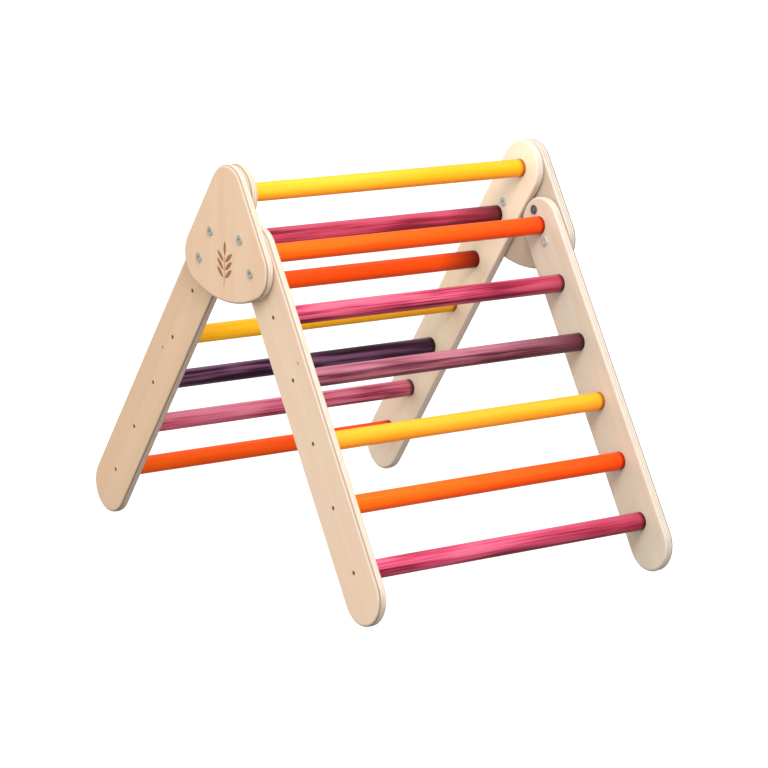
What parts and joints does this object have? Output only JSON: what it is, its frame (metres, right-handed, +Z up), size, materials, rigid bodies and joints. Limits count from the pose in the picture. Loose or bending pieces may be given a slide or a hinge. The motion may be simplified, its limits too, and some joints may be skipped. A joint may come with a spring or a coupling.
{
  "type": "folding climbing triangle",
  "caption": "Foldable wooden climbing triangle: two ladders of coloured round rungs joined at the top by rounded plywood side plates, with a folding pivot in each plate.",
  "frame": {"origin": "bottom centre: the middle of the frame's footprint, on the floor", "axes": "+X along the rungs, +Y from the front ladder to the rear ladder, +Z up"},
  "size_m": [0.7268, 0.9709, 0.7629],
  "materials": {
    "plate_plywood": "clear satin lacquer over birch plywood",
    "leg_plywood": "clear satin lacquer over birch plywood",
    "yellow_rung": "satin yellow stain",
    "orange_rung": "satin orange stain",
    "crimson_rung": "satin crimson stain",
    "magenta_rung": "satin magenta stain",
    "pink_rung": "satin pink stain",
    "mauve_rung": "satin mauve stain",
    "purple_rung": "satin dark purple stain",
    "zinc": "zinc plated",
    "rung_screw": "dark bronzed",
    "dark_nut": "satin black",
    "nylon": "plain"
  },
  "bodies": {
    "rear_frame": {"side_plate_left": "plate_plywood", "side_plate_right": "plate_plywood", "rear_leg_left": "leg_plywood", "rear_leg_right": "leg_plywood", "top_rung": "yellow_rung", "rear_rung_1": "crimson_rung", "rear_rung_2": "orange_rung", "rear_rung_3": "yellow_rung", "rear_rung_4": "purple_rung", "rear_rung_5": "mauve_rung", "rear_rung_6": "orange_rung", "rear_rung_screws_left": "rung_screw", "rear_rung_screws_right": "rung_screw", "plate_bolts_left": "zinc", "plate_bolts_right": "zinc", "plate_nuts_left": "zinc", "plate_nuts_right": "zinc", "pivot_bolt_left": "zinc", "pivot_bolt_right": "zinc", "pivot_sleeve_left": "zinc", "pivot_sleeve_right": "zinc", "pivot_washer_left": "nylon", "pivot_washer_right": "nylon"},
    "front_ladder": {"front_leg_left": "leg_plywood", "front_leg_right": "leg_plywood", "front_rung_1": "orange_rung", "front_rung_2": "pink_rung", "front_rung_3": "mauve_rung", "front_rung_4": "yellow_rung", "front_rung_5": "orange_rung", "front_rung_6": "magenta_rung", "front_rung_screws_left": "rung_screw", "front_rung_screws_right": "rung_screw", "lock_nut_left": "dark_nut", "lock_nut_right": "dark_nut"},
    "lock_bolt_l": {"lock_bolt_left": "zinc"},
    "lock_bolt_r": {"lock_bolt_right": "zinc"}
  },
  "joints": [
    {"name": "fold", "type": "hinge", "parent": "rear_frame", "child": "front_ladder", "pos_m": [0, -0.08615, 0.5772], "axis": [1, 0, 0], "range_deg": [0, 69]},
    {"name": "lock_bolt_left_pull", "type": "slide", "parent": "rear_frame", "child": "lock_bolt_l", "axis": [-1, 0, 0], "range_m": [0, 0.03]},
    {"name": "lock_bolt_right_pull", "type": "slide", "parent": "rear_frame", "child": "lock_bolt_r", "axis": [1, 0, 0], "range_m": [0, 0.03]}
  ]
}
